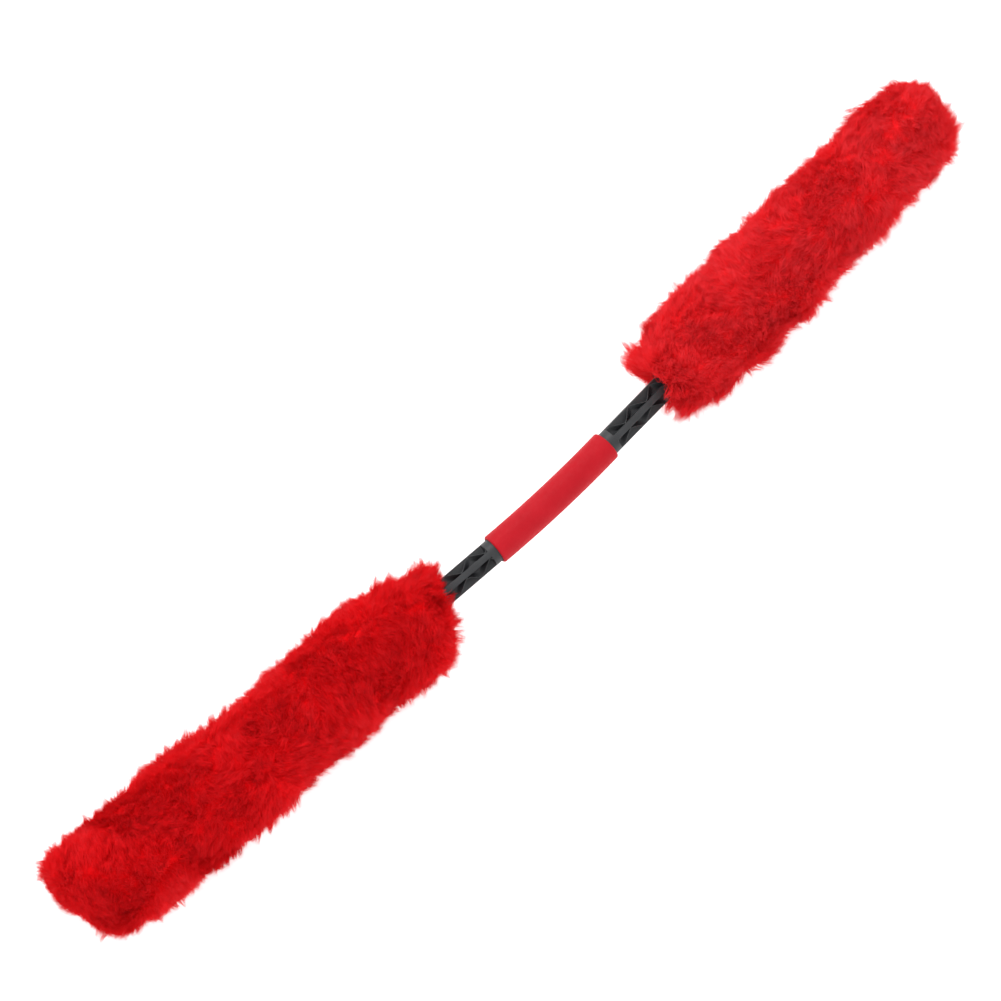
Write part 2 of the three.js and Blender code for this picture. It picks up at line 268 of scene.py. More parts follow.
def plastic_surface(name, dark, light, rough):
    """Moulded plastic: fine grain from the mould, with faint cloudiness and scuffs."""
    plastic = Surface(name, Specular_IOR_Level=0.45)
    cloud = plastic.noise(90, 4)
    plastic.color(plastic.range(cloud, 0.3, 0.7, 0, 1), [(0.0, dark), (1.0, light)])
    scuffs = plastic.noise(260, 5, 0.7, stretch=(0.25, 1, 1))
    plastic.roughness(plastic.range(scuffs, 0.3, 0.7, *rough))
    plastic.bump(plastic.noise(2600, 2), 0.12, 0.12 * MM)
    return plastic.material


def foam_surface():
    """Soft closed-cell grip foam: fine pores under a matt skin."""
    foam = Surface("grip_foam", Specular_IOR_Level=0.14, Sheen_Weight=0.03, Sheen_Roughness=0.4,
                   Sheen_Tint=(1, 0.55, 0.58, 1))
    cloud = foam.noise(70, 4)
    foam.color(foam.range(cloud, 0.3, 0.7, 0, 1),
               [(0.0, (0.42, 0.0045, 0.0115)), (1.0, (0.48, 0.0070, 0.0155))])
    foam.roughness(foam.range(foam.noise(400, 3), 0.3, 0.7, 0.52, 0.68))
    pores = foam.node("ShaderNodeTexVoronoi", {"Vector": foam.place}, Scale=1500).outputs["Distance"]
    foam.bump(foam.combine(pores, foam.noise(2200, 3)), 0.16, 0.15 * MM)
    return foam.material


def rubber_surface():
    """Black rubber, dull and slightly dusty."""
    rubber = Surface("link_rubber", Specular_IOR_Level=0.35)
    rubber.color(rubber.range(rubber.noise(120, 4), 0.3, 0.7, 0, 1),
                 [(0.0, (0.010, 0.010, 0.011)), (1.0, (0.022, 0.022, 0.024))])
    rubber.roughness(rubber.range(rubber.noise(500, 3), 0.3, 0.7, 0.7, 0.9))
    rubber.bump(rubber.noise(1800, 3), 0.2, 0.15 * MM)
    return rubber.material


def steel_surface():
    """Ground steel, with streaks along the pin."""
    steel = Surface("pin_steel", Metallic=1.0)
    streaks = steel.noise(900, 4, 0.7, stretch=(1, 1, 0.08))
    steel.color(steel.range(streaks, 0.3, 0.7, 0, 1),
                [(0.0, (0.36, 0.37, 0.38)), (1.0, (0.52, 0.53, 0.54))])
    steel.roughness(steel.range(streaks, 0.3, 0.7, 0.25, 0.45))
    steel.bump(streaks, 0.1, 0.05 * MM)
    return steel.material


def cloth_surface():
    """The sleeve's backing: a knitted cloth dyed with the wool, its colour darkened further as painted shade
    for the mouth's shadow.
    """
    cloth = Surface("knit_backing", Specular_IOR_Level=0.08, Sheen_Weight=0.03)
    knit = cloth.node("ShaderNodeTexWave", {"Vector": cloth.place}, Scale=180.0, Distortion=2.0,
                      bands_direction="X").outputs["Fac"]
    rows = cloth.node("ShaderNodeTexWave", {"Vector": cloth.place}, Scale=140.0, Distortion=2.0,
                      bands_direction="Z").outputs["Fac"]
    weave = cloth.combine(knit, rows, "MULTIPLY")
    # Dark red: the wool's dye, darkened further as painted shade.
    cloth.color(weave, [(0.0, (0.10, 0.0025, 0.0035)), (1.0, (0.30, 0.0070, 0.0100))])
    cloth.roughness(cloth.range(cloth.noise(500), 0.3, 0.7, 0.8, 0.95))
    cloth.bump(weave, 0.5, 0.4 * MM)
    return cloth.material


def thread_surface():
    """Sewing thread: two plies twisted together."""
    thread = Surface("sewing_thread", Specular_IOR_Level=0.12)
    twist = thread.node("ShaderNodeTexWave", {"Vector": thread.place}, Scale=420.0, Distortion=0.6,
                        bands_direction="DIAGONAL").outputs["Fac"]
    # Dark red: dyed with the wool, darkened further as painted shade.
    thread.color(twist, [(0.0, (0.10, 0.0020, 0.0030)), (1.0, (0.30, 0.0060, 0.0090))])
    thread.roughness(thread.range(thread.noise(600), 0.3, 0.7, 0.6, 0.8))
    thread.bump(twist, 0.6, 0.3 * MM)
    return thread.material


# ---------------------------------------------------------------- mesh helpers
def mesh_object(name, vertices, faces, material):
    """A smooth-shaded object from arrays; faces is a list of equal-sided face arrays."""
    mesh = bpy.data.meshes.new(name)
    vertices = np.asarray(vertices, np.float32).reshape(-1, 3)
    mesh.vertices.add(len(vertices))
    mesh.vertices.foreach_set("co", vertices.ravel())
    loops = np.concatenate([f.ravel() for f in faces]).astype(np.int32)
    sizes = np.concatenate([np.full(len(f), f.shape[1]) for f in faces])
    mesh.loops.add(len(loops))
    mesh.loops.foreach_set("vertex_index", loops)
    mesh.polygons.add(len(sizes))
    mesh.polygons.foreach_set("loop_start", (np.cumsum(sizes) - sizes).astype(np.int32))
    mesh.polygons.foreach_set("use_smooth", np.full(len(sizes), True))
    mesh.materials.append(material)
    mesh.update()
    mesh.validate()
    thing = bpy.data.objects.new(name, mesh)
    bpy.context.scene.collection.objects.link(thing)
    return thing


def store(thing, name, values):
    """A number for each vertex, which the material reads."""
    attribute = thing.data.attributes.new(name, "FLOAT", "POINT")
    attribute.data.foreach_set("value", values.astype(np.float32))


def store_map(thing, across, along):
    """A map for the material's colours: across is in turns around, along is 0..1."""
    mesh = thing.data
    corner = np.empty(len(mesh.loops), np.int32)
    mesh.loops.foreach_get("vertex_index", corner)
    uv = np.clip(np.stack([across[corner], along[corner]], 1), 0.001, 0.999)
    mesh.uv_layers.new(name="OFBake").data.foreach_set("uv", uv.astype(np.float32).ravel())


def grid_faces(rows, columns):
    """Quads of a rows x columns grid of vertices, closed around the columns."""
    row, column = np.meshgrid(np.arange(rows - 1), np.arange(columns), indexing="ij")
    after = (column + 1) % columns
    quads = [row * columns + column, (row + 1) * columns + column,
             (row + 1) * columns + after, row * columns + after]
    return np.stack([q.ravel() for q in quads], 1)


def smoothstep(low, high, value):
    """0 below low, 1 above high, and smooth in between."""
    t = np.clip((value - low) / (high - low), 0, 1)
    return t * t * (3 - 2 * t)


def through(knots, share):
    """A smooth curve through knots, at shares 0..1 of its length."""
    knots = np.asarray(knots, float)
    length = np.concatenate([[0], np.cumsum(np.linalg.norm(np.diff(knots, axis=0), axis=1))])
    slope = np.gradient(knots, length, axis=0)
    at = np.clip(share, 0, 1) * length[-1]
    i = np.clip(np.searchsorted(length, at, "right") - 1, 0, len(knots) - 2)
    span = (length[i + 1] - length[i])[:, None]
    t = (at - length[i])[:, None] / span
    return ((2 * t**3 - 3 * t**2 + 1) * knots[i] + (t**3 - 2 * t**2 + t) * span * slope[i]
            + (3 * t**2 - 2 * t**3) * knots[i + 1] + (t**3 - t**2) * span * slope[i + 1])


# ---------------------------------------------------------------- handle: arms, link and grip
def arm_radius(arm, x, angle):
    """Outer surface of a moulded arm: bars, windows with zigzag ribs, and a collar at each end."""
    local = angle - arm.roll
    window = np.floor(local / (math.pi / 2))
    from_middle = local - (window + 0.5) * math.pi / 2
    beside_bar = math.pi / 4 - np.abs(from_middle)
    floor = CORE_FLAT / np.cos(from_middle)
    bar = np.minimum(SHAFT_RADIUS, BAR_HALF_WIDTH / np.sin(np.maximum(beside_bar, 0.01)))
    radius = np.maximum(floor, bar)
    step = (x - FIRST_RIB) / RIB_RUN
    index = np.floor(step)
    share = step - index
    starts_low = (window % 2 == 0) == arm.first_is_apex
    sign = np.where((index % 2 == 0) == starts_low, -1, 1)
    middle = sign * RIB_SWING * (0.55 * (1 - 2 * share) + 0.45 * np.cos(math.pi * share))
    away = np.abs(RIB_CREST * np.tan(from_middle) - middle) * 0.8
    on_rib = 1 - smoothstep(0.7 * RIB_HALF_WIDTH, 1.9 * RIB_HALF_WIDTH, away)
    crest = CORE_FLAT + (RIB_CREST - CORE_FLAT) * on_rib
    radius = np.maximum(radius, np.minimum(crest / np.cos(from_middle), SHAFT_RADIUS - RIB_INSET))
    windows_end = arm.length - OUTER_COLLAR
    inside = (smoothstep(INNER_COLLAR - 0.1 * MM, INNER_COLLAR + 0.5 * MM, x)
              * (1 - smoothstep(windows_end - 0.5 * MM, windows_end + 0.1 * MM, x)))
    radius = SHAFT_RADIUS + (radius - SHAFT_RADIUS) * inside
    pin_hole = np.hypot(x - PIN_FROM_END, radius * np.sin(angle)) < PIN_HOLE_RADIUS
    return np.where(pin_hole, BORE_RADIUS + 0.05 * MM, radius)


def make_arm(arm, material):
    """A moulded arm, with the link's socket in its inner end and the cap's in its outer end."""
    end = arm.length
    fine = np.arange(ARM_CHAMFER, ARM_FINE_END, ARM_FINE_STEP)
    coarse = np.linspace(ARM_FINE_END, end - ARM_CHAMFER, int((end - ARM_FINE_END) / ARM_COARSE_STEP))
    x = np.concatenate([fine, coarse])[:, None]
    angle = np.arange(ARM_COLUMNS) / ARM_COLUMNS * 2 * math.pi
    body = around(*np.broadcast_arrays(x, arm_radius(arm, x, angle[None]), angle[None]))

    def rings(places):
        """Plain rings, as (x, radius)."""
        return np.array([around(np.full(ARM_COLUMNS, at), np.full(ARM_COLUMNS, radius), angle)
                         for at, radius in places])

    inner = rings([(BORE_DEPTH, BORE_FLOOR_HOLE), (BORE_DEPTH, BORE_RADIUS),
                   (BORE_DEPTH - 0.1 * MM, BORE_RADIUS), (0.3 * MM, BORE_RADIUS),
                   (0, BORE_RADIUS + 0.3 * MM), (0, SHAFT_RADIUS - ARM_CHAMFER)])
    outer = rings([(end, SHAFT_RADIUS - ARM_CHAMFER), (end, CAP_BORE_RADIUS + 0.2 * MM),
                   (end - 0.2 * MM, CAP_BORE_RADIUS), (end - CAP_BORE_DEPTH, CAP_BORE_RADIUS),
                   (end - CAP_BORE_DEPTH, BORE_FLOOR_HOLE)])
    points = np.concatenate([inner, body, outer])
    thing = mesh_object(f"{arm.name}_moulded_arm", arm.world(points),
                        [grid_faces(len(points), ARM_COLUMNS)], material)
    sharpen(thing, 38)
    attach(thing, arm.body)
    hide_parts(f"{arm.name}_arm")


def sharpen(thing, degrees):
    """Keeps edges over an angle crisp where the rest is shaded smooth."""
    bpy.context.view_layer.objects.active = thing
    thing.select_set(True)
    bpy.ops.object.shade_smooth_by_angle(angle=math.radians(degrees))
    thing.select_set(False)


def handle_half(name, side, profile, columns, material):
    """A bent tube from the handle's middle outwards, from a profile of (along, radius)."""
    along = np.array([p[0] for p in profile])[:, None] * side
    radius = np.array([p[1] for p in profile])[:, None]
    angle = np.arange(columns)[None] / columns * 2 * math.pi * side
    points = on_handle(along + 0 * angle, radius * np.sin(angle), radius * np.cos(angle))
    thing = mesh_object(name, points, [grid_faces(len(profile), columns)], material)
    if side < 0:
        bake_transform(thing)
    else:
        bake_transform(thing)
    return thing


def make_grip(side, material):
    """Half the grip, from the handle's middle: a foam tube with a rounded lip."""
    lip_start = GRIP_HALF - GRIP_LIP
    profile = [(0, GRIP_BORE), (0, GRIP_BORE + 0.01 * MM), (0, GRIP_RADIUS - 0.01 * MM)]   # its cut face
    profile += [(at, GRIP_RADIUS) for at in np.linspace(0, lip_start, 64)]
    for turn in np.linspace(0, math.pi / 2, 9)[1:]:
        profile.append((lip_start + GRIP_LIP * math.sin(turn),
                        GRIP_RADIUS - GRIP_LIP * (1 - math.cos(turn))))
    profile += [(GRIP_HALF - 0.15 * MM, GRIP_BORE + 0.05 * MM)]
    profile += [(at, GRIP_BORE) for at in np.linspace(GRIP_HALF - 0.4 * MM, 0, 30)]
    name = "left" if side < 0 else "right"
    thing = handle_half(f"grip_{name}_half", side, profile, GRIP_COLUMNS, material)
    sharpen(thing, 50)
    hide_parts("grip_sleeve")


def make_link(side, material):
    """Half the flexible link, from the handle's middle: discs with waists between, then the spigot."""
    pitch = 2 * LINK_HALF / LINK_DISCS
    inset = LINK_HALF - 0.3 * MM
    spigot_end = LINK_HALF + SPIGOT_LENGTH
    profile = [(0, AXIS_HOLE), (0, SHAFT_RADIUS - 0.4 * MM)]
    for disc in range(LINK_DISCS // 2 + 1):
        first = 0 if disc == 0 else disc * pitch - pitch / 4
        last = inset if disc == LINK_DISCS // 2 else disc * pitch + pitch / 4
        if disc:
            profile += [(first - 0.5 * MM, LINK_WAIST), (first, SHAFT_RADIUS - 0.3 * MM)]
        profile += [(at, SHAFT_RADIUS) for at in np.linspace(first + 0.3 * MM, last - 0.3 * MM, 5)]
        profile += [(last, SHAFT_RADIUS - 0.3 * MM)]
        if disc < LINK_DISCS // 2:
            profile += [(last + 0.5 * MM, LINK_WAIST)]
    profile += [(inset, SPIGOT_RADIUS), (spigot_end - 0.5 * MM, SPIGOT_RADIUS),
                (spigot_end, SPIGOT_RADIUS - 0.5 * MM), (spigot_end, AXIS_HOLE)]
    name = "left" if side < 0 else "right"
    thing = handle_half(f"link_{name}_half", side, profile, LINK_COLUMNS, material)
    sharpen(thing, 35)
    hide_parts("flex_link")


# ---------------------------------------------------------------- wool
PILE_DEPTH = 12 * MM           # length of fibre that is modelled, from the under-wool outwards
FIBRE_WIDTH = 0.13 * MM        # half width at the root
FIBRE_SHADE_AND_LIGHT = np.array([-0.06] * 3 + [-0.01] * 3 + [0.10])   # painted shade darkens a fibre's root, deep in the pile, and painted light brightens its tip
UNDERWOOL_DEPTH = 5.5 * MM     # under-wool surface below the tips
FIBRES_PER_PIECE = 22000
BODY_KNOTS = 7
BODY_FROM_MOUTH = 26 * MM      # where the flared rim has become the body
TIP_ROUNDNESS = 2.5            # 2 is an ellipse, and more is squarer
RIM_SHARES = [0.27, 0.32, 0.41, 0.56, 0.72, 0.86, 0.955]   # radii of the mouth's cup, of the body's
SHAFT_CLEARANCE = 0.8 * MM
MOUTH_SHADE = 0.045            # share of the wool's travel, from inside the mouth, that gets painted shade
COMB = 7.5 * MM                # how far a lock's tip leans sideways
PINCH_DEPTH = 2.6 * MM
STRAY_SHARE = 0.025            # fibres that stand out of their lock
GROUND_GAP = 0.25 * MM         # lowest fibre above the ground
SINK = 4 * MM                  # fibres that would reach this far below it are flattened against it
UNDERWOOL_GROUND_GAP = 1.5 * MM
UNDERWOOL_ROWS, UNDERWOOL_COLUMNS = 240, 150

# The dense pile, and the pointed tufts that stand out of it: spacing, fibres in each lock, spread at the
# root and its shares at the belly and the tip, how far the tips reach past the outline and how unevenly,
# how much shorter single fibres are, how far locks lean at random, how much of the relief's lean they
# take, and how much longer they are at the mouth's rim.
PILE = dict(spacing=2.5 * MM, fibres=9, root=1.4 * MM, belly=0.9, tip=(0.35, 0.95), reach=-0.5 * MM,
            uneven=0.5 * MM, loose=1.2 * MM, sway=1.0 * MM, comb=0.7, rim=1.5 * MM)
TUFTS = dict(spacing=4.3 * MM, fibres=26, root=2.0 * MM, belly=0.75, tip=(0.10, 0.50), reach=1.0 * MM,
             uneven=1.4 * MM, loose=1.5 * MM, sway=1.5 * MM, comb=1.0, rim=8.0 * MM)


def outline_knots(arm):
    """The outline as (x, radius): inside the mouth, its flared rim, the body and the rounded tip."""
    def body_radius(x):
        return arm.near + (arm.far - arm.near) * (x - arm.mouth) / (arm.tip - arm.mouth)

    knots = [(arm.mouth + x * MM, arm.near * share) for x, share in zip(arm.cup, RIM_SHARES)]
    start, end = arm.mouth + BODY_FROM_MOUTH, arm.tip - arm.cap
    knots += [(x, body_radius(x)) for x in np.linspace(start, end, BODY_KNOTS)]
    power = 2 / TIP_ROUNDNESS
    for turn in np.linspace(0, math.pi / 2, 9)[1:]:
        knots.append((end + arm.cap * math.sin(turn) ** power,
                      body_radius(end) * max(math.cos(turn), 0) ** power))
    return knots


def outline(arm, travel, angle):
    """The wool's outline as (x, radius), from inside the mouth (travel 0) to the tip (travel 1)."""
    x, radius = through(arm.knots, travel).T
    radius = np.maximum(radius, 0)
    toward = np.sin(angle) * arm.side
    near_mouth = 1 - smoothstep(arm.mouth + 5 * MM, arm.mouth + 40 * MM, x)
    near_tip = smoothstep(arm.tip - 50 * MM, arm.tip - 5 * MM, x)
    slant = toward * radius / arm.near
    for place, side, width, height in arm.swells:   # each fades out towards the top and the bottom
        share = np.exp(-((x - place) / width) ** 2) * np.clip(toward * side, 0, 1) ** 0.7
        radius = radius + height * share * np.clip(radius / arm.near, 0, 1)
    x = x + slant * (arm.mouth_slant * near_mouth + arm.tip_slant * near_tip)
    return x, radius


class Lumps:
    """Soft cells over a sleeve: each swells at its middle and meets its neighbours in a crease."""

    def __init__(self, rng, arm, size):
        count = int((arm.tip - arm.mouth) * 2 * math.pi * arm.near / size ** 2)
        x = rng.uniform(arm.mouth - 10 * MM, arm.tip + 5 * MM, count)
        angle = rng.uniform(0, 2 * math.pi, count)
        self.middle = around(x, arm.near, angle)
        self.height = rng.normal(0, 1, count)
        self.lean = rng.normal(0, 1, (count, 3))
        self.size = size

    def at(self, points):
        """(dome 0..1, crease 0..1, height, lean) at points given as (out, left, up)."""
        dome = np.empty(len(points))
        crease = np.empty(len(points))
        height = np.empty(len(points))
        lean = np.empty((len(points), 3))
        for start in range(0, len(points), 4000):
            part = slice(start, start + 4000)
            distance = np.linalg.norm(points[part, None] - self.middle[None], axis=2) / self.size
            nearest = np.partition(distance, 1, axis=1)   # the two nearest cells, in order
            weight = np.exp(-7 * (distance - nearest[:, :1]))
            weight /= weight.sum(1, keepdims=True)
            dome[part] = nearest[:, 0]
            crease[part] = nearest[:, 1] - nearest[:, 0]
            height[part] = weight @ self.height
            lean[part] = weight @ self.lean
        dome = 1 - np.clip(dome / 0.85, 0, 1) ** 2
        return dome, 1 - smoothstep(0, 0.22, crease), height, lean


class Relief:
    """What shapes a sleeve's surface: lumps of three sizes, and places where the wool is drawn in."""

    def __init__(self, arm):
        rng = np.random.default_rng(arm.seed)
        self.arm = arm
        self.layers = [   # dome, crease and uneven heights, lean, and painted shade
            (Lumps(rng, arm, 30 * MM), 2.2 * MM, 0.9 * MM, 0.8 * MM, 4.0 * MM, 0.30),
            (Lumps(rng, arm, 14 * MM), 1.3 * MM, 0.6 * MM, 0.5 * MM, 2.4 * MM, 0.25),
            (Lumps(rng, arm, 6.5 * MM), 0.6 * MM, 0.2 * MM, 0.35 * MM, 0.8 * MM, 0.20),
        ]

    def at(self, points, grow):
        """(height along the growth, sideways lean, painted shade) at points given as (out, left, up). The
        painted shade is darker in creases and pinches and lighter on domes.
        """
        height = np.zeros(len(points))
        lean = np.zeros((len(points), 3))
        shade = np.zeros(len(points))
        for lumps, dome_size, crease_size, uneven, lean_size, painted_shade_size in self.layers:
            dome, crease, high, tilt = lumps.at(points)
            height += (dome - 0.5) * dome_size - crease * crease_size + high * uneven
            lean += tilt * lean_size
            # Painted shade and light: darker in creases and on low lumps, lighter on domes and high lumps.
            shade += painted_shade_size * (0.6 * (dome - 0.5) - 0.7 * crease + 0.25 * high)
        lean -= (lean * grow).sum(1, keepdims=True) * grow
        lean *= COMB / np.sqrt((lean ** 2).sum(1, keepdims=True) + (0.3 * COMB) ** 2)
        for place, angle, reach in self.arm.pinches:
            middle = around(np.float64(place), np.float64(self.arm.near), np.float64(angle))
            away = points - middle
            near = np.exp(-(away ** 2).sum(1) / reach ** 2)
            core = np.exp(-(away ** 2).sum(1) / (0.28 * reach) ** 2)
            lean -= away * 0.45 * near[:, None] + lean * 0.7 * near[:, None]
            height -= core * PINCH_DEPTH
            # Painted shade at the pinch's drawn-in core.
            shade -= core * 0.9
        lean -= (lean * grow).sum(1, keepdims=True) * grow
        return height, lean, shade


def growth(arm, points):
    """Unit direction that wool grows in: from the backing outwards, fanned at both ends."""
    anchor = np.clip(points[:, 0], arm.mouth + 21 * MM, arm.tip - 24 * MM)
    direction = points.copy()
    direction[:, 0] -= anchor
    return direction / np.linalg.norm(direction, axis=1, keepdims=True)


def surface_points(rng, arm, spacing):
    """Evenly spread (travel, angle) over the sleeve."""
    travel = np.linspace(0, 1, 4001)
    x, radius = through(arm.knots, travel).T
    radius = np.maximum(radius, 0)
    step = np.hypot(np.diff(x), np.diff(radius)) * math.pi * (radius[1:] + radius[:-1])
    area = np.concatenate([[0], np.cumsum(step)])
    count = int(area[-1] / spacing ** 2)
    share = (np.arange(count) + rng.uniform(0, 1, count)) / count
    golden_angle = math.pi * (3 - math.sqrt(5))
    angle = (np.arange(count) * golden_angle + rng.uniform(-0.06, 0.06, count)) % (2 * math.pi)
    return np.interp(share * area[-1], area, travel), angle


def grow_locks(rng, arm, relief, kind):
    """Locks of fibres over a sleeve: root, middle and tip of each fibre, its tone, and the lock's travel."""
    travel, angle = surface_points(rng, arm, kind["spacing"])
    x, radius = outline(arm, travel, angle)
    tips = around(x, radius, angle)
    grow = growth(arm, tips)
    height, lean, shade = relief.at(tips, grow)
    lean *= kind["comb"]
    calm = smoothstep(0, 0.05, travel)
    height = height * calm
    locks = len(tips)
    at_rim = ((1 - smoothstep(arm.mouth + 2 * MM, arm.mouth + 16 * MM, x))
              * smoothstep(0.3, 0.5, travel * 20))
    stray_lean = rng.normal(0, kind["sway"], (locks, 3))
    stray_lean -= (stray_lean * grow).sum(1, keepdims=True) * grow
    lock_root = tips - grow * (PILE_DEPTH - height * 0.6)[:, None]
    reach = height + kind["reach"] + rng.normal(0, kind["uneven"], locks)
    reach += kind["rim"] * at_rim * rng.uniform(0, 1, locks)
    lock_tip = tips + grow * reach[:, None] + (lean + stray_lean) * (0.4 + 0.6 * calm)[:, None]

    count = kind["fibres"]
    spread = rng.normal(0, 1, (locks, count, 3))
    spread -= (spread * grow[:, None]).sum(2, keepdims=True) * grow[:, None]
    root = lock_root[:, None] + spread * kind["root"]
    tip_spread = rng.uniform(*kind["tip"], (locks, count, 1))
    tip = (lock_tip[:, None] + spread * kind["root"] * tip_spread
           + rng.normal(0, 0.25 * MM, (locks, count, 3)))
    tip -= grow[:, None] * np.abs(rng.normal(0, kind["loose"], (locks, count, 1)))
    stray = rng.uniform(0, 1, (locks, count, 1)) < STRAY_SHARE
    tip += stray * (grow[:, None] * rng.uniform(0, 2.0 * MM, (locks, count, 1))
                    + rng.normal(0, 1.2 * MM, (locks, count, 3)))
    middle = (lock_root * 0.4 + lock_tip * 0.6)[:, None] + spread * kind["root"] * kind["belly"]
    middle += grow[:, None] * 1.2 * MM - lean[:, None] * 0.3 + rng.normal(0, 0.3 * MM, (locks, count, 3))
    for points in (root, middle, tip):
        clear_shaft(arm, points)
    # The relief's painted shade, and a random tone for each lock and each fibre.
    tone = (0.50 + arm.dye_and_painted_light + 0.11 * shade[:, None] + rng.normal(0, 0.035, (locks, 1))
            + rng.normal(0, 0.05, (locks, count)))
    # Painted shade inside the mouth.
    tone -= (0.50 + arm.dye_and_painted_light) * mouth_shade(travel)[:, None]
    return root, middle, tip, tone, np.repeat(travel[:, None], count, 1)


def mouth_shade(travel):
    """Painted shade inside the mouth, as how much darker the wool is coloured there: 1 at the arm, 0 at the
    rim.
    """
    return 1 - smoothstep(0, MOUTH_SHADE, travel)


def clear_shaft(arm, points):
    """Keeps wool out of the arm that it surrounds."""
    radius = np.hypot(points[..., 1], points[..., 2])
    least = np.where(points[..., 0] < arm.length, SHAFT_RADIUS + SHAFT_CLEARANCE, 0)
    scale = np.maximum(1, least / np.maximum(radius, 0.1 * MM))
    points[..., 1:] *= scale[..., None]


def fibre_mesh(arm, index, root, middle, tip, tone, travel, material, rng):
    """Three-sided tapered fibres, each a ring at the root, a ring at the middle and a point."""
    count = len(root)
    axis = tip - root
    axis /= np.linalg.norm(axis, axis=1, keepdims=True)
    side = np.cross(axis, rng.normal(0, 1, (count, 3)))
    side /= np.linalg.norm(side, axis=1, keepdims=True)
    other = np.cross(axis, side)
    vertices = np.empty((count, 7, 3))
    for corner in range(3):
        turn = 2 * math.pi * corner / 3
        away = side * math.cos(turn) + other * math.sin(turn)
        vertices[:, corner] = root + away * FIBRE_WIDTH
        vertices[:, 3 + corner] = middle + away * FIBRE_WIDTH * 0.8
    vertices[:, 6] = tip
    world = arm.world(vertices)
    height = world[..., 2]
    world[..., 2] = np.maximum(height, GROUND_GAP + 0.1 * (height.clip(-SINK, 0) + SINK))
    first = np.arange(count)[:, None] * 7
    quads = np.concatenate([first + np.array([[c, (c + 1) % 3, 3 + (c + 1) % 3, 3 + c]]) for c in range(3)])
    points = np.concatenate([first + np.array([[3 + c, 3 + (c + 1) % 3, 6]]) for c in range(3)])
    piece = mesh_object(f"{arm.name}_wool_{index}", world, [quads, points], material)
    # The tone, with painted shade at each fibre's root and painted light at its tip.
    store(piece, "tone", (tone[:, None] + FIBRE_SHADE_AND_LIGHT).ravel())
    turn = np.arctan2(vertices[..., 1], vertices[..., 2]) / (2 * math.pi)
    at_root = np.arctan2(root[:, 1], root[:, 2])[:, None] / (2 * math.pi)
    across = at_root + (turn - at_root + 0.5) % 1 - 0.5 + 0.5
    along = travel[:, None] + (vertices[..., 0] - root[:, :1]) / (arm.tip - arm.mouth)
    low, high = travel.min() - 0.02, travel.max() + 0.02
    store_map(piece, across.ravel(), ((along - low) / (high - low)).ravel())
    return piece


def make_wool(arm, relief, material):
    """A sleeve's fibres, in pieces from the mouth to the tip."""
    rng = np.random.default_rng(arm.seed + 100)
    parts = []
    for kind in (PILE, TUFTS):
        *points, tone, travel = grow_locks(rng, arm, relief, kind)
        parts.append((*(p.reshape(-1, 3) for p in points), tone.ravel(), travel.ravel()))
    root, middle, tip, tone, travel = (np.concatenate(values) for values in zip(*parts))
    order = np.argsort(travel, kind="stable")
    pieces = math.ceil(len(order) / FIBRES_PER_PIECE)
    for index, chosen in enumerate(np.array_split(order, pieces)):
        piece = fibre_mesh(arm, index + 1, root[chosen], middle[chosen], tip[chosen], tone[chosen],
                           travel[chosen], material, rng)
        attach(piece, arm.body)
        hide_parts(f"{arm.name}_wool_pile")


def make_underwool(arm, relief, material):
    """The dense wool under the tips: one lumpy shell from the mouth's inside to the tip."""
    rows, columns = UNDERWOOL_ROWS, UNDERWOOL_COLUMNS
    travel = np.repeat(np.linspace(0, 1, rows), columns)
    angle = np.tile(np.arange(columns) / columns * 2 * math.pi, rows)
    x, radius = outline(arm, travel, angle)
    points = around(x, radius, angle)
    grow = growth(arm, points)
    height, _, shade = relief.at(points, grow)
    depth = UNDERWOOL_DEPTH * smoothstep(-0.02, 0.06, travel)
    points = points + grow * (height * smoothstep(0, 0.05, travel) - depth)[:, None]
    world = arm.world(points)
    world[:, 2] = np.maximum(world[:, 2], UNDERWOOL_GROUND_GAP)
    shell = mesh_object(f"{arm.name}_underwool", world, [grid_faces(rows, columns)], material)
    # The under-wool's lower tone is painted shade deep in the pile; it also gets the relief's painted shade
    # and the painted shade inside the mouth.
    store(shell, "tone", (0.4 + arm.dye_and_painted_light) * (1 - mouth_shade(travel)) + 0.15 * shade)
    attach(shell, arm.body)
    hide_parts(f"{arm.name}_wool_pile")


# ---------------------------------------------------------------- camera, floor and light
CAMERA_ELEVATION = math.radians(73.5)
CAMERA_AZIMUTH = math.radians(-44.3)
CAMERA_DISTANCE = 12.0         # far away with a long lens, as the photograph has hardly any perspective
VIEW_WIDTH = 0.5526            # of the picture, at the brush
FRAMING = (-6.4 * MM, 5.2 * MM)   # the picture's middle from the brush's, to the right and up
SENSOR = 36
KEY_PLACE = (0.35, 0.95, 1.35)
KEY_SIZE = 0.9
KEY_POWER = 9
WORLD_STRENGTH = 1.15
FLOOR_SIZE = 6
FLOOR_GLOW = 0.6               # lifts the paper to the photograph's pure white


def make_camera():
    low, high = (Vector(corner) for corner in cad_bounds)
    level = math.cos(CAMERA_ELEVATION)
    away = Vector((math.sin(CAMERA_AZIMUTH) * level, -math.cos(CAMERA_AZIMUTH) * level,
                   math.sin(CAMERA_ELEVATION)))
    right = Vector((0, 0, 1)).cross(away).normalized()
    up = away.cross(right)
    target = (low + high) / 2 + right * FRAMING[0] + up * FRAMING[1]
    camera = bpy.data.objects.new("camera", bpy.data.cameras.new("camera"))
    bpy.context.scene.collection.objects.link(camera)
    camera.location = target + away * CAMERA_DISTANCE
    camera.rotation_euler = (-away).to_track_quat("-Z", "Y").to_euler()
    camera.data.sensor_width = SENSOR
    camera.data.lens = SENSOR * CAMERA_DISTANCE / VIEW_WIDTH
    bpy.context.scene.camera = camera


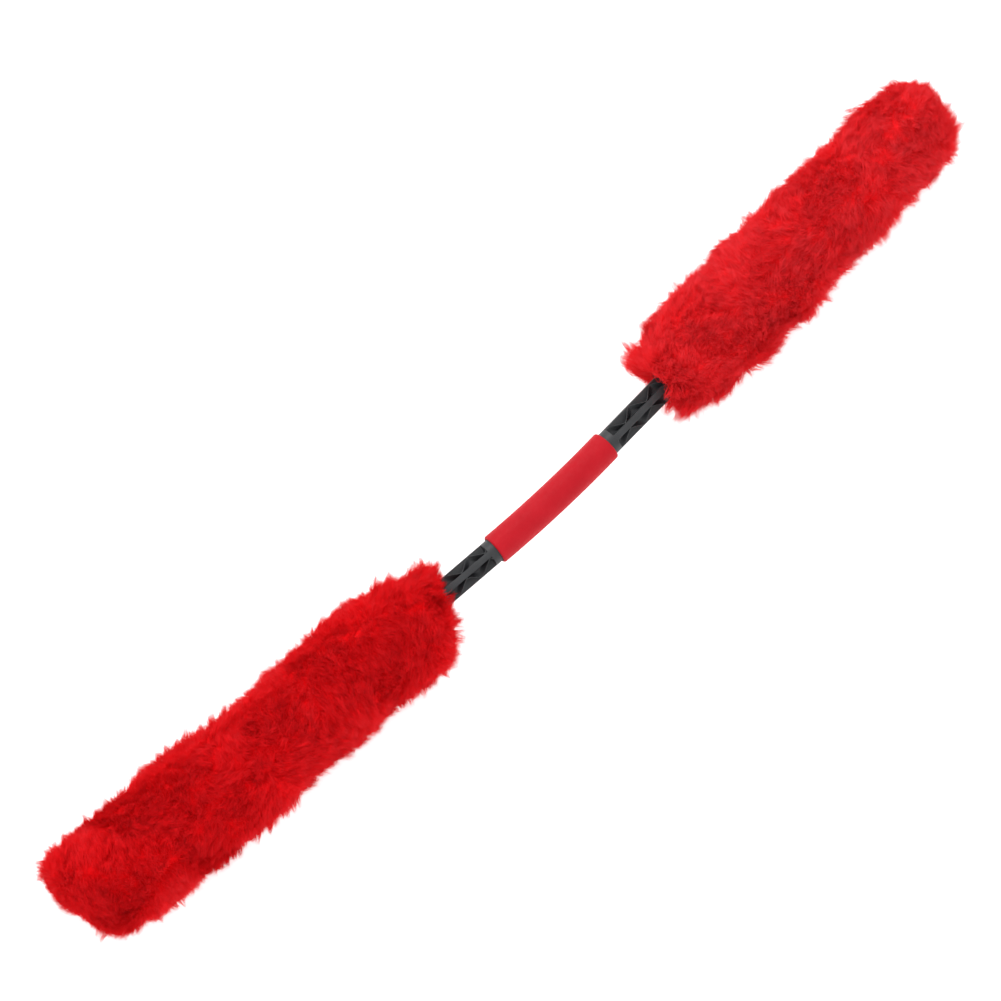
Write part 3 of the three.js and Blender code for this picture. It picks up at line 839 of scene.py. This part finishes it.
def make_floor():
    bpy.ops.mesh.primitive_plane_add(size=FLOOR_SIZE)
    floor = bpy.context.object
    floor.name = "floor"
    paper = Surface("floor_paper", Roughness=0.9, Specular_IOR_Level=0.1)
    paper.color(paper.noise(8, 2), [(0.0, (0.80, 0.80, 0.80)), (1.0, (0.84, 0.84, 0.84))])
    paper.shader.inputs["Emission Color"].default_value = (1, 1, 1, 1)
    paper.shader.inputs["Emission Strength"].default_value = FLOOR_GLOW
    floor.data.materials.append(paper.material)


def make_light():
    """White light from all around, and a soft key light aimed at the brush."""
    world = bpy.data.worlds.new("studio")
    bpy.context.scene.world = world
    world.use_nodes = True
    background = world.node_tree.nodes["Background"]
    background.inputs["Color"].default_value = (1, 1, 1, 1)
    background.inputs["Strength"].default_value = WORLD_STRENGTH
    key = bpy.data.objects.new("key", bpy.data.lights.new("key", "AREA"))
    key.data.shape = "DISK"
    key.data.size = KEY_SIZE
    key.data.energy = KEY_POWER
    key.location = KEY_PLACE
    key.rotation_euler = (-Vector(KEY_PLACE)).to_track_quat("-Z", "Y").to_euler()
    bpy.context.scene.collection.objects.link(key)


bpy.context.scene.view_settings.view_transform = "Standard"
make_camera()
make_floor()
make_light()

plastic = plastic_surface("shaft_plastic", (0.016, 0.017, 0.019), (0.028, 0.030, 0.033), (0.42, 0.6))
cap_plastic = plastic_surface("cap_plastic", (0.014, 0.014, 0.015), (0.026, 0.026, 0.028), (0.5, 0.7))
wool = wool_surface()
foam = foam_surface()
rubber = rubber_surface()
steel = steel_surface()
cloth = cloth_surface()
thread = thread_surface()

for arm in ARMS:
    arm.knots = outline_knots(arm)
    relief = Relief(arm)
    make_arm(arm, plastic)
    make_underwool(arm, relief, wool)
    make_wool(arm, relief, wool)
    for node, material in (("link_pin", steel), ("tip_cap", cap_plastic), ("sleeve_backing", cloth),
                           ("mouth_tie", thread), ("seam_thread", thread), ("gather_thread", thread)):
        carried = frame["nodes"][f"{arm.name}_{node}"]
        for slot in carried.material_slots:
            slot.material = material
for side in (-1, 1):
    make_link(side, rubber)
    make_grip(side, foam)
